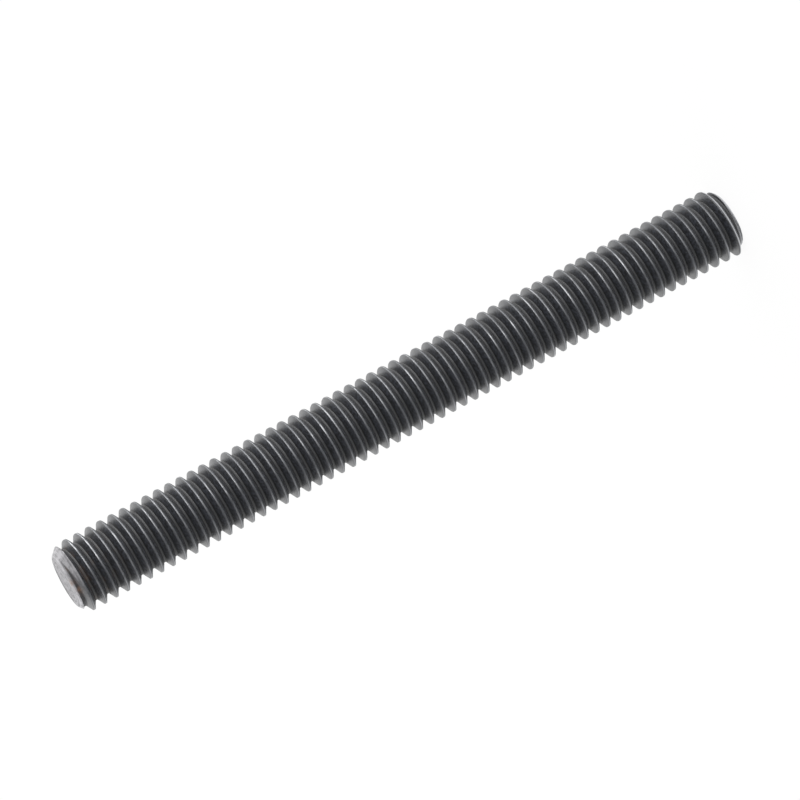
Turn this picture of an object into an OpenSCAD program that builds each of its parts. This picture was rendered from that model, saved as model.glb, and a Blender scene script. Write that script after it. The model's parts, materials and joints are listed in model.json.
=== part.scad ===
// Fully threaded stud: a steel rod with one right-hand thread from end to end
// and a chamfer round each end. It is one piece and stands on its lower end.
// Millimetres. The axis is Z, and the lower end face lies on Z = 0.

/* [Stud] */
// Length from end face to end face
stud_l = 94.4; // [30:0.05:130]
// Diameter over the thread crests
major_d = 9.2; // [7:0.05:12]
// Depth, and length, of the 45 degree chamfer round the upper end
upper_chamfer = 1.15; // [0.3:0.05:2]
// Depth, and length, of the 45 degree chamfer round the lower end
lower_chamfer = 0.75; // [0.3:0.05:2]
// How far the lower chamfer was ground off the axis, towards -X
lower_chamfer_shift = 0.3; // [0:0.05:0.4]

/* [Thread] */
// Distance from crest to crest along the stud
thread_pitch = 1.5875; // [1.2:0.0125:2.4]
// Angle between the two flanks of the groove
flank_angle = 60; // [50:1:70]
// Width of the flat along each crest
crest_flat = 0.25; // [0.2:0.01:0.4]
// Width of the flat along the bottom of the groove
root_flat = 0.27; // [0.1:0.01:0.4]
// Angle from +X at which the groove crosses the lower end face
groove_start = 170; // [0:5:355]

/* [Hidden] */

black_oxide = [0.16, 0.165, 0.185];

// Radii of the thread, worked out from its pitch, flats and flank angle
crest_r = major_d / 2;
flank_slope = tan(flank_angle / 2);
groove_w = thread_pitch - crest_flat;
groove_depth = (groove_w - root_flat) / (2 * flank_slope);
root_r = crest_r - groove_depth;

// The groove runs half a turn past each end face, in short straight steps
run_out = 0.5;
turns = stud_l / thread_pitch + 2 * run_out;
finest_steps = 24;
most_steps = 1490;
steps_per_turn = min(finest_steps, floor(most_steps / turns));
last_step = ceil(turns * steps_per_turn);

// The groove's mouth stands clear of the crests at the middle of each step too
mouth_clear = 0.02;
mouth_r = crest_r / cos(180 / steps_per_turn) + mouth_clear;
mouth_w = groove_w + 2 * (mouth_r - crest_r) * flank_slope;

// Faces round the rod, and how far a chamfer's cut reaches past the metal on every side
rod_sides = 96;
cut_clear = 1;

// Half section of the groove as [radius, height], from its middle
groove_section = [
    [root_r, -root_flat / 2],
    [mouth_r, -mouth_w / 2],
    [mouth_r, mouth_w / 2],
    [root_r, root_flat / 2]
];
corners = len(groove_section);

// The groove's section set at one step along the right-hand helix
function section_at(step) =
    let (turn = step / steps_per_turn - run_out, a = groove_start + 360 * turn)
    [for (p = groove_section) [p[0] * cos(a), p[0] * sin(a), p[1] + thread_pitch * turn]];

// Two triangles from one edge of a section to the same edge of the next
function band(step, corner) =
    let (a = corners * step + corner, b = corners * step + (corner + 1) % corners)
    [[a, b, a + corners], [b, b + corners, a + corners]];

// The ring that a chamfer takes off an end on Z = 0, outside a 45 degree cone
module chamfer_ring(depth) {
    rotate_extrude($fn = rod_sides)
        polygon([
            [crest_r - depth - cut_clear, -cut_clear],
            [crest_r + cut_clear, -cut_clear],
            [crest_r + cut_clear, depth + cut_clear]
        ]);
}

// The rod before threading, with both ends chamfered
module blank() {
    difference() {
        cylinder(r = crest_r, h = stud_l, $fn = rod_sides);
        translate([-lower_chamfer_shift, 0, 0])
            chamfer_ring(lower_chamfer);
        translate([0, 0, stud_l])
            mirror([0, 0, 1])
                chamfer_ring(upper_chamfer);
    }
}

// The material that the thread takes away, swept along the helix
module groove() {
    points = [for (step = [0:last_step]) each section_at(step)];
    sides = [for (step = [0:last_step - 1], corner = [0:corners - 1]) each band(step, corner)];
    start = [for (corner = [corners - 1:-1:0]) corner];
    end = [for (corner = [0:corners - 1]) corners * last_step + corner];
    polyhedron(points, concat(sides, [start, end]));
}

module stud() {
    color(black_oxide)
        difference() {
            blank();
            groove();
        }
}

stud();
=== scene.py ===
"""Looks of a fully threaded stud: black oxide thread, bare metal ends and a plain pale stage.

All sizes are metres in the frame's own axes: the stud stands on its lower end with its axis on Z.
"""

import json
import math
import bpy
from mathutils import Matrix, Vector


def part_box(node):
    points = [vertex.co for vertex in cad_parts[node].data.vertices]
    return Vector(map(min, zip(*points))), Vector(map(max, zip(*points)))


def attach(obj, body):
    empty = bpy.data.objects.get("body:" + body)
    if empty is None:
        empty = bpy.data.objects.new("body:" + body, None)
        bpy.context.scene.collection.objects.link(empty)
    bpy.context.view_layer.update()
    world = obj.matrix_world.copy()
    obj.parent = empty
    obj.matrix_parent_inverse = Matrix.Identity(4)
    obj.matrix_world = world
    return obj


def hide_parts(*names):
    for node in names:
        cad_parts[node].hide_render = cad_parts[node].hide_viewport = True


bl_info = {
    "name": "Threaded stud",
    "version": (1, 0, 0),
    "blender": (4, 5, 0),
    "location": "View3D > Sidebar > Stud",
    "description": "Dresses a fully threaded steel stud and sets its stage",
    "category": "Object",
}

import bpy
from bpy.props import FloatProperty, FloatVectorProperty, IntProperty, PointerProperty
from mathutils import Matrix, Vector

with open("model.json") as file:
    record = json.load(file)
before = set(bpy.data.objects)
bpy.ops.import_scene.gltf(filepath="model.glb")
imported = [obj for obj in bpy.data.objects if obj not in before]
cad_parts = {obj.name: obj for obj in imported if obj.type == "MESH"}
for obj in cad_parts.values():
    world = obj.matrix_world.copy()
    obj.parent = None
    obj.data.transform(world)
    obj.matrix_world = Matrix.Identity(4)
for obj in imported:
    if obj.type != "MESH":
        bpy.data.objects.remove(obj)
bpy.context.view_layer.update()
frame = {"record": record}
STUD_LOW, STUD_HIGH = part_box("stud")

MM = 0.001
STUD_LENGTH = STUD_HIGH.z - STUD_LOW.z
CREST_RADIUS = next(m["dims"]["r_mm"] for m in frame["record"]["mounts"] if "r_mm" in m["dims"]) * MM

# Below, a STEP holds the two ends of a smooth change, and DEPTHS hold them as depths below a top or in
# from a rim. A NOISE holds its scale and detail, and some hold a roughness too

# Mesh: turns of the helix past each end face, turns from the middle of a groove to the middle of a crest,
# how close points are merged, and how sharp an edge is that stays crisp
OVERRUN_TURNS = 0.25
HALF_TURN = 0.5
MERGE_DISTANCE = 0.001 * MM
SHARP_ANGLE = math.radians(35)

# Attributes of the mesh, in millimetres: how deep the chamfer cuts, how far in a point lies on an end face
# and how far it lies from the rubbed line
CUT = "chamfer_cut"
INWARD = "end_face_inward"
RIDGE = "crest_distance"

# The rubbed line runs above the middle of the crest, on the edge that catches the lamps, which makes its
# offset a painted highlight, and below it on the last turns above the lower end
RUB_HIGHLIGHT_SHIFT = 0.033 * MM
LAST_SHIFT = -0.18 * MM
LAST_TURNS_STEP = (1.6 * MM, 3.0 * MM)

# Dents along the crests: where their noise starts to bite and how far below the crest they reach
NICK_NOISE = (700.0, 1.0)
NICK_STEP = (0.60, 0.75)
NICK_REACH = 0.12 * MM

# Rubbed line: share of its reach that is rubbed whole, how much wider it is on the last turns,
# how far below the crest it reaches, how much further on the last turns, and the depth over which it ends
RUB_CORE = 0.3
LAST_WIDENING = 1.2
RUB_REACH = 0.12 * MM
LAST_FURTHER = 0.3 * MM
RUB_END = 0.08 * MM

# Painted highlight on the rubbed crests along X, where right is +X: the right half, towards the key lamp,
# which loses some further out, and both outer edges, as painted rim light
RIGHT_STEP = (-1.2 * MM, 0.4 * MM)
RIGHT_HIGHLIGHT = 0.28
OUTER_STEP = (0.9 * MM, 2.6 * MM)
OUTER_HIGHLIGHT_LOSS = 0.14
RIGHT_EDGE_STEP = (3.2 * MM, 4.3 * MM)
RIGHT_EDGE_HIGHLIGHT = 0.2
LEFT_EDGE_STEP = (-4.2 * MM, -2.4 * MM)
LEFT_EDGE_HIGHLIGHT = 0.55

# Short bright stretches of the crests, and how much brighter they are on the right, which is painted
# highlight towards the key lamp
STRETCH_NOISE = (420.0, 3.0)
STRETCH_STEP = (0.50, 0.68)
STRETCH_POLISH = 0.22
RIGHT_STRETCH_HIGHLIGHT = 0.30

# Bare chamfers: they fade to the left, away from the key lamp, down to a least share, smeared by noise, which
# paints shade there, and are bare again at the left edge, a painted highlight, and at the upper rim. The cut
# is in millimetres
SMEAR_NOISE = (900.0, 3.0)
SMEAR_REACH = 1.5 * MM
SHADE_FADE_STEP = (-1.9 * MM, 1.7 * MM)
LEAST_BARE_IN_SHADE = 0.12
LEFT_EDGE_LIGHT_STEP = (-4.2 * MM, -3.0 * MM)
RIM_DEPTHS = (0.55 * MM, 0.2 * MM)
CUT_STEP = (-0.10, 0.05)

# Bare end faces, by millimetres inward, and the foot, by height: a band along the lower edge painted lighter
# than the turned ends, a painted highlight
FACE_STEP = (0.0, 0.1)
BRIGHT_FOOT_STEP = (0.12 * MM, 0.38 * MM)

# Painted shade along the far rim of an end face, broken into patches like oxide left there: depths in from
# the rim, the side towards +Y, its patches and the share of bareness that it takes away
FAR_SHADE_DEPTHS = (1.1 * MM, 0.4 * MM)
FAR_SHADE_SIDE_STEP = (0.8 * MM, 3.0 * MM)
FAR_SHADE_NOISE = (800.0, 3.0)
FAR_SHADE_STEP = (0.28, 0.50)
FAR_SHADE_LOSS = 0.8

# Rust: turns and depths over which its film thins out, and where the film and the spots start to show.
# The spots on the upper end have places across the axis and depths below the end face
RUST_NOISE = (620.0, 4.0, 0.62)
FILM_TURNS = 6
FILM_DEPTHS = (0.8 * MM, 0.3 * MM)
FILM_STEP = (0.45, 0.68)
RUST_SPOTS = ((-0.45 * MM, -3.1 * MM, 0.05 * MM), (-1.6 * MM, -3.5 * MM, 0.4 * MM))
SPOT_REACH_STEP = (0.2 * MM, 0.9 * MM)
SPOT_STEP = (0.36, 0.70)

# Black oxide: how light it is where it is thin and thick, its grain, and specks where it is rubbed off
THIN_OXIDE = 2.0
THICK_OXIDE = 0.35
GRAIN_NOISE = (3500.0, 3.0, 0.6)
GRAIN_STEP = (0.38, 0.62)
SPECK_NOISE = (5200.0, 2.0)
SPECK_STEP = (0.66, 0.76)

# Darker and rougher roots, by depth below the crest
ROOT_DARK_DEPTHS = (0.86 * MM, 0.6 * MM)
ROOT_DARK_SHARE = 0.7
ROOT_DARK_COLOUR = (0.0, 0.0, 0.0)

# Turned steel: how light its dull marks are, and the rings and blotches that mottle it
DULL_STEEL = 0.5
RING_NOISE = (4200.0, 3.0, 0.6)
BLOTCH_NOISE = (1500.0, 4.0, 0.6)
MOTTLE_STEP = (0.78, 1.14)

# Gloss: refraction and sheen of the whole stud, and the roughness of each finish
STEEL_IOR = 1.7
SHEEN_WEIGHT = 0.06
SHEEN_ROUGHNESS = 0.5
OXIDE_ROUGHNESS = 0.28
GRAIN_ROUGHNESS = 0.2
ROOT_ROUGHNESS = 0.53
RUB_ROUGHNESS = 0.42
CHAMFER_ROUGHNESS = 0.38
FACE_ROUGHNESS = 0.53
FAR_SHADE_ROUGHNESS = 0.9
BRIGHT_FOOT_ROUGHNESS = 0.75

# Tool marks: distance between the rings round the axis, and depth and strength of all marks
RING_PITCH = 0.11 * MM
MARK_DEPTH = 0.009 * MM
MARK_STRENGTH = 0.3

# Viewpoint
CAMERA_PLACE = Vector((0.0, -0.65653, 0.19264))
CAMERA_AIM = Vector((-0.000145, 0.0, 0.04744))
CAMERA_ROLL = math.radians(118.763)
SENSOR_WIDTH = 36.0
CLIP_START = 0.01
CLIP_END = 100.0

# Lamps: place, width and height. One rim lamp stands on each side behind the stud
KEY_PLACE = (1.0, -0.46, 0.25)
KEY_SIZE = (2.4, 0.4)
RIM_PLACE = (0.6, 1.0, 0.7)
RIM_SIZE = (1.3, 1.3)

# Tent of light: where its level changes from front to back, and from its walls to overhead
TENT_BACK_STEP = (-0.5, 0.5)
TENT_TOP_STEP = (0.05, 0.9)

# How much of the floor's look is plain white paper rather than its own light and shade
FLOOR_WHITE = 0.93


# Sizes and colours that a user would change

def length_property(name, description, default):
    """A length in metres."""
    return FloatProperty(
        name=name, description=description, default=default, precision=6, subtype="DISTANCE", unit="LENGTH"
    )


def angle_property(name, description, degrees):
    """An angle, given in degrees."""
    return FloatProperty(name=name, description=description, default=math.radians(degrees), subtype="ANGLE")


def share_property(name, description, default):
    """A share from 0 to 1."""
    return FloatProperty(name=name, description=description, default=default, min=0, max=1, subtype="FACTOR")


def number_property(name, description, default, unit="NONE"):
    """A plain number, with a unit where one fits."""
    return FloatProperty(name=name, description=description, default=default, unit=unit)


def colour_property(name, description, default):
    """A linear colour without alpha."""
    return FloatVectorProperty(
        name=name, description=description, default=default, size=3, min=0, max=1, subtype="COLOR"
    )


class StudThreadSizes(bpy.types.PropertyGroup):
    """Form of the thread and of the chamfered ends"""

    length: length_property("Length", "From end face to end face", STUD_LENGTH)
    crest_radius: length_property("Crest radius", "Half the diameter over the crests", CREST_RADIUS)
    pitch: length_property("Pitch", "From crest to crest along the stud", 1.5875 * MM)
    crest_flat: length_property("Crest flat", "Width of the flat along each crest", 0.25 * MM)
    root_flat: length_property("Root flat", "Width of the flat along the bottom of the groove", 0.27 * MM)
    flank_angle: angle_property("Flank angle", "Between the two flanks of the groove", 60)
    upper_chamfer: length_property("Upper chamfer", "Depth and length of the upper end's chamfer", 1.15 * MM)
    lower_chamfer: length_property("Lower chamfer", "Depth and length of the lower end's chamfer", 0.75 * MM)
    chamfer_shift: length_property("Chamfer shift", "How far the lower chamfer lies off the axis", 0.3 * MM)
    groove_start: angle_property("Groove start", "Where the groove crosses the lower end face, from +X", 170)
    crest_rounding: length_property("Crest rounding", "How softly the flanks turn into the crest", 0.05 * MM)
    root_rounding: length_property("Root rounding", "How softly the flanks turn into the root", 0.10 * MM)
    edge_rounding: length_property("Edge rounding", "How softly the upper chamfer meets its face", 0.30 * MM)
    nick_depth: length_property("Nick depth", "Deepest of the small dents along the crests", 0.05 * MM)
    columns: IntProperty(name="Columns", description="Faces round the stud", default=64, min=16)
    rows_per_pitch: IntProperty(name="Rows", description="Faces along one pitch", default=24, min=8)


class StudFinish(bpy.types.PropertyGroup):
    """Colours of the steel and how worn it is"""

    oxide: colour_property("Black oxide", "Colour of the blackened steel", (0.0157, 0.0174, 0.0222))
    rubbed: colour_property("Rubbed crest", "Colour where the oxide is rubbed thin", (0.10, 0.104, 0.112))
    # Also used for painted highlight: the crests' lit side and edges, and the bright foot at the lower end
    bright_metal_and_highlight: colour_property("Polished crest", "Colour where the oxide is gone", (0.58, 0.59, 0.61))
    bare: colour_property("Bare steel", "Colour of the turned ends", (0.40, 0.395, 0.41))
    rust: colour_property("Rust", "Colour of the rust at the upper end", (0.17, 0.085, 0.045))
    rub_width: length_property("Rub width", "How far the rubbed line reaches to either side", 0.10 * MM)
    rub_amount: share_property("Rub amount", "How bare the crests are rubbed", 0.9)
    rust_amount: share_property("Rust amount", "How much rust lies in the first grooves", 0.25)


class StudStage(bpy.types.PropertyGroup):
    """Floor, light and viewpoint"""

    floor_colour: colour_property("Floor", "Colour of the floor", (0.95, 0.95, 0.95))
    floor_size: number_property("Floor size", "Side of the floor", 60.0, "LENGTH")
    key_power: number_property("Key lamp", "Power of the long side lamp", 14.7, "POWER")
    rim_power: number_property("Rim lamps", "Power of each lamp behind", 4.8, "POWER")
    tent_back: number_property("Tent behind", "Light of the tent behind the stud", 0.5)
    tent_front: number_property("Tent in front", "Light of the tent on the viewer's side", 0.46)
    tent_top: number_property("Tent overhead", "Light of the tent above the stud", 1.2)
    focal_length: number_property("Lens", "Focal length for a 36 mm wide sensor, in mm", 247.5, "CAMERA")


# Short calls for building node trees

def add(tree, kind, **settings):
    """A new node of that kind with its own settings."""
    node = tree.nodes.new(kind)
    for name, value in settings.items():
        setattr(node, name, value)
    return node


def feed(tree, target, source):
    """Links a socket to the target, or sets the target to a plain value."""
    if isinstance(source, bpy.types.NodeSocket):
        tree.links.new(source, target)
    else:
        target.default_value = source


def shape(tree, kind, geometry, **settings):
    """A new node of that kind that works on a geometry."""
    node = add(tree, kind, **settings)
    feed(tree, node.inputs["Geometry"], geometry)
    return node


def maths(tree, operation, *values):
    """One Math node and its result."""
    node = add(tree, "ShaderNodeMath", operation=operation)
    for socket, value in zip(node.inputs, values):
        feed(tree, socket, value)
    return node.outputs[0]


def ramp(tree, value, low, high):
    """0 below low, 1 above high and a smooth step between."""
    node = add(tree, "ShaderNodeMapRange", interpolation_type="SMOOTHSTEP")
    feed(tree, node.inputs["Value"], value)
    feed(tree, node.inputs["From Min"], low)
    feed(tree, node.inputs["From Max"], high)
    return node.outputs["Result"]


def fall(tree, value, low, high):
    """1 below low, 0 above high and a smooth step between."""
    return maths(tree, "SUBTRACT", 1.0, ramp(tree, value, low, high))


def below(top, depths):
    """The two ends of a step, given as depths below a top."""
    return tuple(top - depth for depth in depths)


def blend_colour(tree, factor, first, second):
    """A mix of two colours."""
    node = add(tree, "ShaderNodeMix", data_type="RGBA")
    feed(tree, node.inputs[0], factor)
    for socket, colour in ((node.inputs[6], first), (node.inputs[7], second)):
        feed(tree, socket, colour if isinstance(colour, bpy.types.NodeSocket) else (*colour, 1.0))
    return node.outputs[2]


def blend_value(tree, factor, first, second):
    """A mix of two numbers."""
    node = add(tree, "ShaderNodeMix", data_type="FLOAT")
    feed(tree, node.inputs[0], factor)
    feed(tree, node.inputs[2], first)
    feed(tree, node.inputs[3], second)
    return node.outputs[0]


def noise(tree, vector, scale, detail=2.0, roughness=0.5):
    """Value of a noise texture at a point."""
    node = add(tree, "ShaderNodeTexNoise")
    feed(tree, node.inputs["Vector"], vector)
    feed(tree, node.inputs["Scale"], scale)
    node.inputs["Detail"].default_value = detail
    node.inputs["Roughness"].default_value = roughness
    return node.outputs[0]


def parts(tree, vector):
    """X, Y and Z of a vector."""
    split = add(tree, "ShaderNodeSeparateXYZ")
    feed(tree, split.inputs[0], vector)
    return split.outputs


def vector(tree, x, y, z):
    """A vector made of three numbers."""
    join = add(tree, "ShaderNodeCombineXYZ")
    for socket, value in zip(join.inputs, (x, y, z)):
        feed(tree, socket, value)
    return join.outputs[0]


def attribute(tree, name):
    """Value of one of the mesh's attributes."""
    return add(tree, "ShaderNodeAttribute", attribute_name=name).outputs["Fac"]


# The thread as a rule: a grid laid along the helix and bent round the axis

TREE_INPUTS = (
    ("Length", "NodeSocketFloat"),
    ("Crest Radius", "NodeSocketFloat"),
    ("Pitch", "NodeSocketFloat"),
    ("Crest Flat", "NodeSocketFloat"),
    ("Root Flat", "NodeSocketFloat"),
    ("Flank Angle", "NodeSocketFloat"),
    ("Upper Chamfer", "NodeSocketFloat"),
    ("Lower Chamfer", "NodeSocketFloat"),
    ("Chamfer Shift", "NodeSocketFloat"),
    ("Groove Start", "NodeSocketFloat"),
    ("Crest Rounding", "NodeSocketFloat"),
    ("Root Rounding", "NodeSocketFloat"),
    ("Edge Rounding", "NodeSocketFloat"),
    ("Nick Depth", "NodeSocketFloat"),
    ("Columns", "NodeSocketInt"),
    ("Rows Per Pitch", "NodeSocketInt"),
    ("Material", "NodeSocketMaterial"),
)


def helix_grid(tree, given):
    """A flat grid, with the share of the way round and the height on the helix of each of its points."""
    spare_turns = 1.0 + 2 * OVERRUN_TURNS
    pitches = maths(tree, "ADD", maths(tree, "DIVIDE", given["Length"], given["Pitch"]), spare_turns)
    rows = maths(tree, "CEIL", maths(tree, "MULTIPLY", pitches, given["Rows Per Pitch"]))
    grid = add(tree, "GeometryNodeMeshGrid")
    grid.inputs["Size X"].default_value = 1.0
    feed(tree, grid.inputs["Size Y"], rows)
    feed(tree, grid.inputs["Vertices X"], maths(tree, "ADD", given["Columns"], 1.0))
    feed(tree, grid.inputs["Vertices Y"], maths(tree, "ADD", rows, 1.0))

    # The grid is centred, one unit wide and one unit high per row
    spot = parts(tree, add(tree, "GeometryNodeInputPosition").outputs[0])
    round_share = maths(tree, "ADD", spot["X"], 0.5)
    row = maths(tree, "ROUND", maths(tree, "ADD", spot["Y"], maths(tree, "DIVIDE", rows, 2.0)))
    first_turn = 1.0 + OVERRUN_TURNS
    row_turn = maths(tree, "SUBTRACT", maths(tree, "DIVIDE", row, given["Rows Per Pitch"]), first_turn)
    climb = maths(tree, "MULTIPLY", maths(tree, "ADD", row_turn, round_share), given["Pitch"])
    return grid.outputs["Mesh"], round_share, climb


def thread_radius(tree, given, turns):
    """Distance from the axis to the thread's surface, by how many turns it lies past a groove's middle."""
    slope = maths(tree, "TANGENT", maths(tree, "DIVIDE", given["Flank Angle"], 2.0))
    groove = maths(tree, "SUBTRACT", given["Pitch"], given["Crest Flat"])
    flank = maths(tree, "SUBTRACT", groove, given["Root Flat"])
    depth = maths(tree, "DIVIDE", maths(tree, "DIVIDE", flank, 2.0), slope)
    root = maths(tree, "SUBTRACT", given["Crest Radius"], depth)
    off_middle = maths(tree, "MULTIPLY", maths(tree, "PINGPONG", turns, HALF_TURN), given["Pitch"])
    past_root = maths(tree, "SUBTRACT", off_middle, maths(tree, "DIVIDE", given["Root Flat"], 2.0))
    line = maths(tree, "ADD", root, maths(tree, "DIVIDE", past_root, slope))
    rounded = maths(tree, "SMOOTH_MAX", line, root, given["Root Rounding"])
    return maths(tree, "SMOOTH_MIN", rounded, given["Crest Radius"], given["Crest Rounding"])


def chamfer_radius(tree, given, climb, cosine):
    """Distance from the axis to the nearer end's chamfer cone, which runs on across the end face."""
    upper_rim = maths(tree, "SUBTRACT", given["Crest Radius"], given["Upper Chamfer"])
    upper = maths(tree, "ADD", upper_rim, maths(tree, "SUBTRACT", given["Length"], climb))
    lower_rim = maths(tree, "SUBTRACT", given["Crest Radius"], given["Lower Chamfer"])
    off_axis = maths(tree, "MULTIPLY", given["Chamfer Shift"], cosine)
    lower = maths(tree, "ADD", maths(tree, "SUBTRACT", lower_rim, off_axis), climb)
    return maths(tree, "MINIMUM", upper, lower)


def crest_dents(tree, given, surface, cosine, sine, height):
    """Depth of the small dents along the crests."""
    around = maths(tree, "MULTIPLY", cosine, given["Crest Radius"])
    across = maths(tree, "MULTIPLY", sine, given["Crest Radius"])
    dents = ramp(tree, noise(tree, vector(tree, around, across, height), *NICK_NOISE), *NICK_STEP)
    below_crest = maths(tree, "SUBTRACT", given["Crest Radius"], surface)
    on_crest = fall(tree, below_crest, 0.0, NICK_REACH)
    return maths(tree, "MULTIPLY", maths(tree, "MULTIPLY", dents, on_crest), given["Nick Depth"])


def crest_distance(tree, given, turns, climb):
    """How far a point lies from the rubbed line along the crest."""
    # Painted highlight: the line is offset to the crest's upper edge, where the lamps catch it
    shift = blend_value(tree, fall(tree, climb, *LAST_TURNS_STEP), RUB_HIGHLIGHT_SHIFT, LAST_SHIFT)
    shifted = maths(tree, "SUBTRACT", turns, maths(tree, "DIVIDE", shift, given["Pitch"]))
    off_crest = maths(tree, "SUBTRACT", HALF_TURN, maths(tree, "PINGPONG", shifted, HALF_TURN))
    return maths(tree, "MULTIPLY", off_crest, given["Pitch"])


def marked(tree, mesh, marks):
    """The mesh with lengths stored on its points, in millimetres, by attribute name."""
    for name, value in marks.items():
        mark = shape(tree, "GeometryNodeStoreNamedAttribute", mesh, data_type="FLOAT", domain="POINT")
        mark.inputs["Name"].default_value = name
        feed(tree, mark.inputs["Value"], maths(tree, "DIVIDE", value, MM))
        mesh = mark.outputs["Geometry"]
    return mesh


def closed_shell(tree, bent, material):
    """One closed shell merged from the bent grid, smooth but for its sharp edges, made real and painted."""
    merged = shape(tree, "GeometryNodeMergeByDistance", bent)
    merged.inputs["Distance"].default_value = MERGE_DISTANCE
    smooth = shape(tree, "GeometryNodeSetShadeSmooth", merged.outputs["Geometry"], domain="FACE")
    crisp = shape(tree, "GeometryNodeSetShadeSmooth", smooth.outputs["Geometry"], domain="EDGE")
    bends = add(tree, "GeometryNodeInputMeshEdgeAngle").outputs["Unsigned Angle"]
    feed(tree, crisp.inputs["Selection"], maths(tree, "GREATER_THAN", bends, SHARP_ANGLE))
    crisp.inputs["Shade Smooth"].default_value = False
    real = shape(tree, "GeometryNodeRealizeInstances", crisp.outputs["Geometry"])
    painted = shape(tree, "GeometryNodeSetMaterial", real.outputs["Geometry"])
    feed(tree, painted.inputs["Material"], material)
    return painted.outputs["Geometry"]


def thread_tree():
    """Geometry Nodes that turn a flat grid into the whole stud, end faces included."""
    tree = bpy.data.node_groups.new("threaded_stud", "GeometryNodeTree")
    for name, kind in TREE_INPUTS:
        tree.interface.new_socket(name=name, in_out="INPUT", socket_type=kind)
    tree.interface.new_socket(name="Geometry", in_out="OUTPUT", socket_type="NodeSocketGeometry")
    given = {socket.name: socket for socket in add(tree, "NodeGroupInput").outputs if socket.name}
    grid, round_share, climb = helix_grid(tree, given)
    angle = maths(tree, "ADD", given["Groove Start"], maths(tree, "MULTIPLY", round_share, 2 * math.pi))
    cosine = maths(tree, "COSINE", angle)
    sine = maths(tree, "SINE", angle)

    # A row that passes an end turns inward across the end face, and the last rows meet on the axis
    on_wall = maths(tree, "MINIMUM", maths(tree, "MAXIMUM", climb, 0.0), given["Length"])
    past_end = maths(tree, "ABSOLUTE", maths(tree, "SUBTRACT", climb, on_wall))
    below_top = maths(tree, "SMOOTH_MIN", climb, given["Length"], given["Edge Rounding"])
    height = maths(tree, "SMOOTH_MAX", below_top, 0.0, given["Crest Rounding"])
    turns = maths(tree, "SUBTRACT", maths(tree, "DIVIDE", on_wall, given["Pitch"]), round_share)
    thread = maths(tree, "SUBTRACT", thread_radius(tree, given, turns), past_end)
    chamfer = chamfer_radius(tree, given, climb, cosine)
    surface = maths(tree, "SMOOTH_MIN", thread, chamfer, given["Crest Rounding"])
    dented = maths(tree, "SUBTRACT", surface, crest_dents(tree, given, surface, cosine, sine, height))
    on_axis = maths(tree, "GREATER_THAN", past_end, given["Edge Rounding"])
    radius = maths(tree, "MULTIPLY", dented, maths(tree, "SUBTRACT", 1.0, on_axis))

    # The points are marked before the grid is bent
    cut = maths(tree, "SUBTRACT", thread, chamfer)
    marks = {CUT: cut, INWARD: past_end, RIDGE: crest_distance(tree, given, turns, climb)}
    bent = shape(tree, "GeometryNodeSetPosition", marked(tree, grid, marks))
    x = maths(tree, "MULTIPLY", cosine, radius)
    y = maths(tree, "MULTIPLY", sine, radius)
    feed(tree, bent.inputs["Position"], vector(tree, x, y, height))
    stud = closed_shell(tree, bent.outputs["Geometry"], given["Material"])
    tree.links.new(stud, add(tree, "NodeGroupOutput").inputs["Geometry"])
    return tree


def thread_inputs(sizes, material):
    """Values for the tree's inputs: each size has the name of its input in small letters."""
    values = {"Material": material}
    for name, kind in TREE_INPUTS:
        if name not in values:
            values[name] = getattr(sizes, name.lower().replace(" ", "_"))
    return values


def mesh_from_tree(tree, values, name):
    """Evaluates the tree once and keeps the result as a plain mesh object."""
    carrier = bpy.data.objects.new(name + "_carrier", bpy.data.meshes.new(name + "_carrier"))
    bpy.context.scene.collection.objects.link(carrier)
    modifier = carrier.modifiers.new("thread", "NODES")
    modifier.node_group = tree
    for socket in tree.interface.items_tree:
        if socket.in_out == "INPUT":
            modifier[socket.identifier] = values[socket.name]
    graph = bpy.context.evaluated_depsgraph_get()
    mesh = bpy.data.meshes.new_from_object(carrier.evaluated_get(graph), depsgraph=graph)
    mesh.name = name
    carrier.modifiers.remove(modifier)
    bpy.data.objects.remove(carrier)
    piece = bpy.data.objects.new(name, mesh)
    bpy.context.scene.collection.objects.link(piece)
    return piece


# Finish

def crest_rub(tree, radius, height, sizes, finish):
    """Where handling has rubbed the crests: a thin line along the helix, wider near the lower end."""
    last = fall(tree, height, *LAST_TURNS_STEP)
    widening = maths(tree, "MULTIPLY_ADD", last, LAST_WIDENING, 1.0)
    width = finish.rub_width / MM
    line = fall(tree, maths(tree, "DIVIDE", attribute(tree, RIDGE), widening), RUB_CORE * width, width)
    lowest = maths(tree, "MULTIPLY_ADD", last, -LAST_FURTHER, sizes.crest_radius - RUB_REACH)
    whole = ramp(tree, radius, lowest, maths(tree, "ADD", lowest, RUB_END))
    return maths(tree, "MULTIPLY", maths(tree, "MULTIPLY", line, whole), finish.rub_amount)


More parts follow.
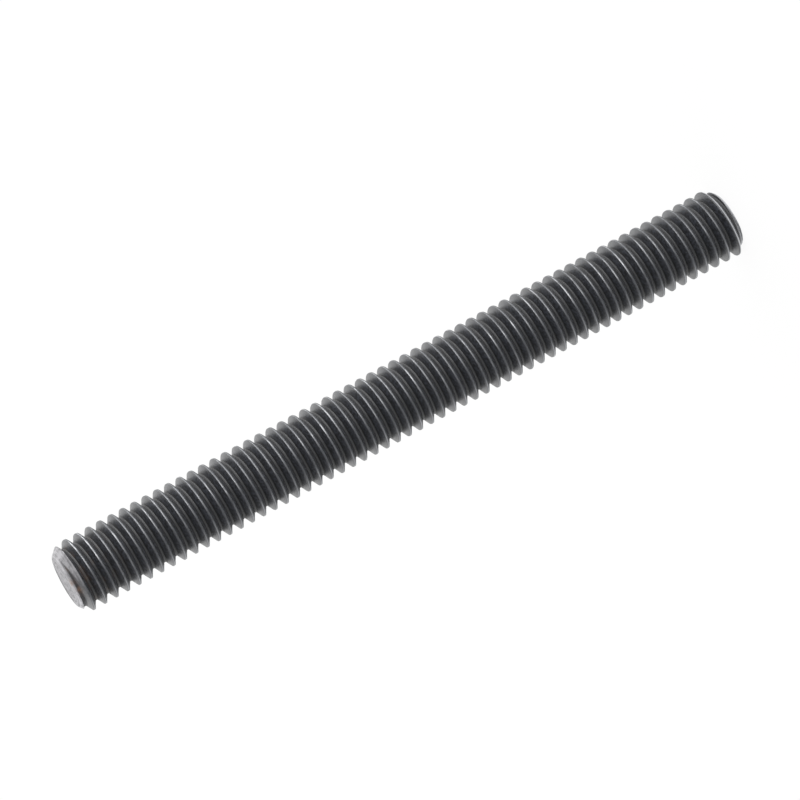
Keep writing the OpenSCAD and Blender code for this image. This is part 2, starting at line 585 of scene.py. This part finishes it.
def crest_colour(tree, place, finish):
    """Colour of the rubbed crests: painted highlight at +X, towards the key lamp, and at both edges, and
    brighter in short stretches and at the lower end.
    """
    spot = parts(tree, place)
    # Painted highlight: lighter towards +X, where the key lamp stands, and at both outer edges
    right = ramp(tree, spot["X"], *RIGHT_STEP)
    right_highlight = maths(tree, "MULTIPLY_ADD", ramp(tree, spot["X"], *OUTER_STEP), -OUTER_HIGHLIGHT_LOSS, RIGHT_HIGHLIGHT)
    right_edge = maths(tree, "MULTIPLY", ramp(tree, spot["X"], *RIGHT_EDGE_STEP), RIGHT_EDGE_HIGHLIGHT)
    left_edge = maths(tree, "MULTIPLY", fall(tree, spot["X"], *LEFT_EDGE_STEP), LEFT_EDGE_HIGHLIGHT)
    lit_sides = maths(tree, "MULTIPLY_ADD", right, right_highlight, maths(tree, "ADD", right_edge, left_edge))
    stretches = ramp(tree, noise(tree, place, *STRETCH_NOISE), *STRETCH_STEP)
    share = maths(tree, "MULTIPLY_ADD", right, RIGHT_STRETCH_HIGHLIGHT, STRETCH_POLISH)
    wear_and_highlight = maths(tree, "ADD", lit_sides, maths(tree, "MULTIPLY", stretches, share))
    wear_and_highlight = maths(tree, "MAXIMUM", wear_and_highlight, fall(tree, spot["Z"], *LAST_TURNS_STEP))
    return blend_colour(tree, wear_and_highlight, finish.rubbed, finish.bright_metal_and_highlight)


def chamfer_bareness_and_shade(tree, place, sizes):
    """Where the chamfers are bare: less and less towards -X, away from the key lamp, as painted shade, but
    for the edge there, as painted highlight, and the upper rim.
    """
    spot = parts(tree, place)
    smear = maths(tree, "MULTIPLY_ADD", noise(tree, place, *SMEAR_NOISE), 2 * SMEAR_REACH, -SMEAR_REACH)
    side = maths(tree, "ADD", spot["X"], smear)
    # Painted shade: the oxide shows more towards -X, away from the key lamp; the -X edge is bare again as
    # painted highlight
    bare_with_shade = maths(tree, "MULTIPLY_ADD", ramp(tree, side, *SHADE_FADE_STEP), 1.0 - LEAST_BARE_IN_SHADE, LEAST_BARE_IN_SHADE)
    bare_with_shade = maths(tree, "MAXIMUM", bare_with_shade, fall(tree, side, *LEFT_EDGE_LIGHT_STEP))
    at_rim = ramp(tree, spot["Z"], *below(sizes.length, RIM_DEPTHS))
    on_chamfer = ramp(tree, attribute(tree, CUT), *CUT_STEP)
    return maths(tree, "MULTIPLY", on_chamfer, maths(tree, "MAXIMUM", bare_with_shade, at_rim))


def far_rim_shade(tree, place, radius, on_face, sizes):
    """Painted shade near the rim of an end face, towards +Y, in patches like oxide left there."""
    rim = sizes.crest_radius - sizes.upper_chamfer
    near_rim = ramp(tree, radius, *below(rim, FAR_SHADE_DEPTHS))
    far_side = ramp(tree, parts(tree, place)["Y"], *FAR_SHADE_SIDE_STEP)
    patches = ramp(tree, noise(tree, place, *FAR_SHADE_NOISE), *FAR_SHADE_STEP)
    edge = maths(tree, "MULTIPLY", near_rim, far_side)
    return maths(tree, "MULTIPLY", edge, maths(tree, "MULTIPLY", on_face, patches))


def end_bareness(tree, place, radius, sizes):
    """Where the ends are bare, where they are end faces, where painted shade darkens these, and where the
    painted bright foot is.
    """
    on_face = ramp(tree, attribute(tree, INWARD), *FACE_STEP)
    far_shade = far_rim_shade(tree, place, radius, on_face, sizes)
    # Painted shade: the far rim loses bareness and turns dark
    face = maths(tree, "MULTIPLY_ADD", far_shade, -FAR_SHADE_LOSS, 1.0)
    ends = blend_value(tree, on_face, chamfer_bareness_and_shade(tree, place, sizes), face)
    # Painted highlight: a light band along the lower edge
    bright_foot = fall(tree, parts(tree, place)["Z"], *BRIGHT_FOOT_STEP)
    return maths(tree, "MAXIMUM", ends, bright_foot), on_face, far_shade, bright_foot


def upper_rust(tree, place, radius, bare, sizes, finish):
    """Rust near the upper end: a film in the bottom of the first grooves, and spots on the end itself."""
    below_top = maths(tree, "SUBTRACT", sizes.length, parts(tree, place)["Z"])
    near_end = fall(tree, below_top, 0.0, FILM_TURNS * sizes.pitch)
    low = fall(tree, radius, *below(sizes.crest_radius, FILM_DEPTHS))
    grains = noise(tree, place, *RUST_NOISE)
    film = maths(tree, "MULTIPLY", maths(tree, "MULTIPLY", near_end, low), finish.rust_amount)
    film = maths(tree, "MULTIPLY", film, maths(tree, "SUBTRACT", 1.0, bare))
    rust = maths(tree, "MULTIPLY", film, ramp(tree, grains, *FILM_STEP))
    spotted = ramp(tree, grains, *SPOT_STEP)
    for x, y, depth in RUST_SPOTS:
        apart = add(tree, "ShaderNodeVectorMath", operation="DISTANCE")
        feed(tree, apart.inputs[0], place)
        feed(tree, apart.inputs[1], (x, y, sizes.length - depth))
        near_spot = fall(tree, apart.outputs["Value"], *SPOT_REACH_STEP)
        rust = maths(tree, "MAXIMUM", rust, maths(tree, "MULTIPLY", near_spot, spotted))
    return rust


def oxide_colour(tree, place, grain, deep_root, finish):
    """Black oxide: thin and thick in a fine grain, with specks rubbed off, and darker deeper in the roots."""
    thin = tuple(THIN_OXIDE * channel for channel in finish.oxide)
    thick = tuple(THICK_OXIDE * channel for channel in finish.oxide)
    colour = blend_colour(tree, ramp(tree, grain, *GRAIN_STEP), thick, thin)
    specks = ramp(tree, noise(tree, place, *SPECK_NOISE), *SPECK_STEP)
    colour = blend_colour(tree, specks, colour, finish.rubbed)
    return blend_colour(tree, maths(tree, "MULTIPLY", deep_root, ROOT_DARK_SHARE), colour, ROOT_DARK_COLOUR)


def turned_colour(tree, place, radius, finish):
    """Bare turned steel, mottled by rings round the axis and by blotches."""
    dull = tuple(DULL_STEEL * channel for channel in finish.bare)
    rings = noise(tree, vector(tree, radius, 0.0, parts(tree, place)["Z"]), *RING_NOISE)
    blotches = noise(tree, place, *BLOTCH_NOISE)
    mottle = ramp(tree, maths(tree, "ADD", rings, blotches), *MOTTLE_STEP)
    return blend_colour(tree, mottle, dull, finish.bare)


def tool_marks(tree, radius, bare, grain):
    """Normals of the marks: a fine grain everywhere, and rings round the axis on the bare ends."""
    rings = maths(tree, "SINE", maths(tree, "MULTIPLY", radius, 2 * math.pi / RING_PITCH))
    bump = add(tree, "ShaderNodeBump")
    bump.inputs["Strength"].default_value = MARK_STRENGTH
    bump.inputs["Distance"].default_value = MARK_DEPTH
    feed(tree, bump.inputs["Height"], maths(tree, "ADD", maths(tree, "MULTIPLY", rings, bare), grain))
    return bump.outputs["Normal"]


def stud_steel(sizes, finish):
    """Blackened steel, rubbed along the crests, bare at the ends and rusty near the upper end, with painted
    highlight on the crests and ends and painted shade on the chamfers and end faces.
    """
    material = bpy.data.materials.new("black_oxide_steel")
    material.use_nodes = True
    tree = material.node_tree
    shader = tree.nodes["Principled BSDF"]
    shader.inputs["IOR"].default_value = STEEL_IOR
    shader.inputs["Sheen Weight"].default_value = SHEEN_WEIGHT
    shader.inputs["Sheen Roughness"].default_value = SHEEN_ROUGHNESS

    # Where each finish lies
    place = add(tree, "ShaderNodeTexCoord").outputs["Object"]
    spot = parts(tree, place)
    squares = [maths(tree, "MULTIPLY", spot[axis], spot[axis]) for axis in ("X", "Y")]
    radius = maths(tree, "SQRT", maths(tree, "ADD", *squares))
    grain = noise(tree, place, *GRAIN_NOISE)
    deep_root = fall(tree, radius, *below(sizes.crest_radius, ROOT_DARK_DEPTHS))
    rub = crest_rub(tree, radius, spot["Z"], sizes, finish)
    bare, on_face, far_shade, bright_foot = end_bareness(tree, place, radius, sizes)
    rust = upper_rust(tree, place, radius, bare, sizes, finish)

    # Colour, with each finish laid over the last
    colour = oxide_colour(tree, place, grain, deep_root, finish)
    colour = blend_colour(tree, rub, colour, crest_colour(tree, place, finish))
    colour = blend_colour(tree, bare, colour, turned_colour(tree, place, radius, finish))
    # Painted highlight: the foot takes the lightest crest colour
    colour = blend_colour(tree, bright_foot, colour, finish.bright_metal_and_highlight)
    feed(tree, shader.inputs["Base Color"], blend_colour(tree, rust, colour, finish.rust))
    metal = maths(tree, "MULTIPLY", maths(tree, "MAXIMUM", rub, bare), maths(tree, "SUBTRACT", 1.0, rust))
    feed(tree, shader.inputs["Metallic"], metal)

    # Roughness, in the same way
    rough = maths(tree, "MULTIPLY_ADD", grain, GRAIN_ROUGHNESS, OXIDE_ROUGHNESS)
    turned = blend_value(tree, on_face, CHAMFER_ROUGHNESS, FACE_ROUGHNESS)
    layers = (
        (deep_root, ROOT_ROUGHNESS),
        (rub, RUB_ROUGHNESS),
        (bare, turned),
        (far_shade, FAR_SHADE_ROUGHNESS),
        (bright_foot, BRIGHT_FOOT_ROUGHNESS),
    )
    for mask, level in layers:
        rough = blend_value(tree, mask, rough, level)
    feed(tree, shader.inputs["Roughness"], rough)
    feed(tree, shader.inputs["Normal"], tool_marks(tree, radius, bare, grain))
    return material


class STUD_OT_make_stud(bpy.types.Operator):
    """Make the stud: one closed mesh with its thread, chamfers and end faces"""

    bl_idname = "stud.make_stud"
    bl_label = "Make the stud"

    def execute(self, context):
        sizes = context.scene.stud_sizes
        material = stud_steel(sizes, context.scene.stud_finish)
        piece = mesh_from_tree(thread_tree(), thread_inputs(sizes, material), "stud_thread")
        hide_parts("stud")
        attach(piece, "root")
        return {"FINISHED"}


# Stage

def looking_at(place, aim, roll):
    """World matrix of a camera or lamp at a place that looks at a point, turned about its view line."""
    turned = (aim - place).to_track_quat("-Z", "Y").to_matrix().to_4x4()
    return Matrix.Translation(place) @ turned @ Matrix.Rotation(-roll, 4, "Z")


def lamp(name, place, aim, size, power):
    """A soft rectangular lamp."""
    data = bpy.data.lights.new(name, "AREA")
    data.shape = "RECTANGLE"
    data.size, data.size_y = size
    data.energy = power
    made = bpy.data.objects.new(name, data)
    made.matrix_world = looking_at(Vector(place), aim, 0.0)
    bpy.context.scene.collection.objects.link(made)


def floor_material(colour):
    """Pale paper that reads as white, directly and in reflections, and still takes the stud's shadow."""
    material = bpy.data.materials.new("pale_floor")
    material.use_nodes = True
    tree = material.node_tree
    tree.nodes.clear()
    paper = add(tree, "ShaderNodeBsdfDiffuse")
    paper.inputs["Color"].default_value = (*colour, 1.0)
    white = add(tree, "ShaderNodeEmission")
    path = add(tree, "ShaderNodeLightPath").outputs
    seen = maths(tree, "MAXIMUM", path["Is Camera Ray"], path["Is Glossy Ray"])
    seen = maths(tree, "MAXIMUM", seen, path["Is Transmission Ray"])
    mix = add(tree, "ShaderNodeMixShader")
    feed(tree, mix.inputs[0], maths(tree, "MULTIPLY", seen, FLOOR_WHITE))
    tree.links.new(paper.outputs[0], mix.inputs[1])
    tree.links.new(white.outputs[0], mix.inputs[2])
    tree.links.new(mix.outputs[0], add(tree, "ShaderNodeOutputMaterial").inputs["Surface"])
    return material


def floor_sheet(stage):
    """A large square floor under the stud."""
    half = stage.floor_size / 2
    mesh = bpy.data.meshes.new("floor")
    corners = [(-half, -half, 0), (half, -half, 0), (half, half, 0), (-half, half, 0)]
    mesh.from_pydata(corners, [], [(0, 1, 2, 3)])
    mesh.materials.append(floor_material(stage.floor_colour))
    floor = bpy.data.objects.new("floor", mesh)
    bpy.context.scene.collection.objects.link(floor)


def tent(stage):
    """A soft tent of light, with its own level behind, in front and above."""
    world = bpy.data.worlds.new("tent")
    bpy.context.scene.world = world
    world.use_nodes = True
    tree = world.node_tree
    tree.nodes.clear()
    way = parts(tree, add(tree, "ShaderNodeTexCoord").outputs["Generated"])
    wall = blend_value(tree, ramp(tree, way["Y"], *TENT_BACK_STEP), stage.tent_front, stage.tent_back)
    light = add(tree, "ShaderNodeBackground")
    up = ramp(tree, way["Z"], *TENT_TOP_STEP)
    feed(tree, light.inputs["Strength"], blend_value(tree, up, wall, stage.tent_top))
    tree.links.new(light.outputs[0], add(tree, "ShaderNodeOutputWorld").inputs["Surface"])


def viewpoint(stage):
    """The camera, turned so that the stud lies across the picture."""
    data = bpy.data.cameras.new("camera")
    data.sensor_width = SENSOR_WIDTH
    data.lens = stage.focal_length
    data.clip_start = CLIP_START
    data.clip_end = CLIP_END
    camera = bpy.data.objects.new("camera", data)
    camera.matrix_world = looking_at(CAMERA_PLACE, CAMERA_AIM, CAMERA_ROLL)
    bpy.context.scene.collection.objects.link(camera)
    bpy.context.scene.camera = camera


class STUD_OT_set_stage(bpy.types.Operator):
    """Set the stage: floor, soft light and the camera"""

    bl_idname = "stud.set_stage"
    bl_label = "Set the stage"

    def execute(self, context):
        stage = context.scene.stud_stage
        middle = (STUD_LOW + STUD_HIGH) / 2
        floor_sheet(stage)
        lamp("key", KEY_PLACE, middle, KEY_SIZE, stage.key_power)
        across, back, up = RIM_PLACE
        lamp("rim_right", (across, back, up), middle, RIM_SIZE, stage.rim_power)
        lamp("rim_left", (-across, back, up), middle, RIM_SIZE, stage.rim_power)
        tent(stage)
        viewpoint(stage)
        context.scene.view_settings.view_transform = "Standard"
        return {"FINISHED"}


class STUD_PT_panel(bpy.types.Panel):
    """Stud panel in the 3D view's sidebar"""

    bl_label = "Threaded stud"
    bl_idname = "STUD_PT_panel"
    bl_space_type = "VIEW_3D"
    bl_region_type = "UI"
    bl_category = "Stud"

    def draw(self, context):
        for heading, group in (
            ("Thread", context.scene.stud_sizes),
            ("Finish", context.scene.stud_finish),
            ("Stage", context.scene.stud_stage),
        ):
            self.layout.label(text=heading)
            for name in group.bl_rna.properties.keys():
                if name not in ("rna_type", "name"):
                    self.layout.prop(group, name)
        self.layout.operator(STUD_OT_make_stud.bl_idname)
        self.layout.operator(STUD_OT_set_stage.bl_idname)


CLASSES = (StudThreadSizes, StudFinish, StudStage, STUD_OT_make_stud, STUD_OT_set_stage, STUD_PT_panel)


def register():
    """Registers the classes and puts the settings on the scene."""
    for cls in CLASSES:
        bpy.utils.register_class(cls)
    bpy.types.Scene.stud_sizes = PointerProperty(type=StudThreadSizes)
    bpy.types.Scene.stud_finish = PointerProperty(type=StudFinish)
    bpy.types.Scene.stud_stage = PointerProperty(type=StudStage)


def unregister():
    """Takes the settings and classes away again."""
    for name in ("stud_sizes", "stud_finish", "stud_stage"):
        delattr(bpy.types.Scene, name)
    for cls in reversed(CLASSES):
        bpy.utils.unregister_class(cls)


def main():
    """Makes the piece and the stage."""
    register()
    bpy.ops.stud.make_stud()
    bpy.ops.stud.set_stage()


if __name__ == "__main__":
    main()
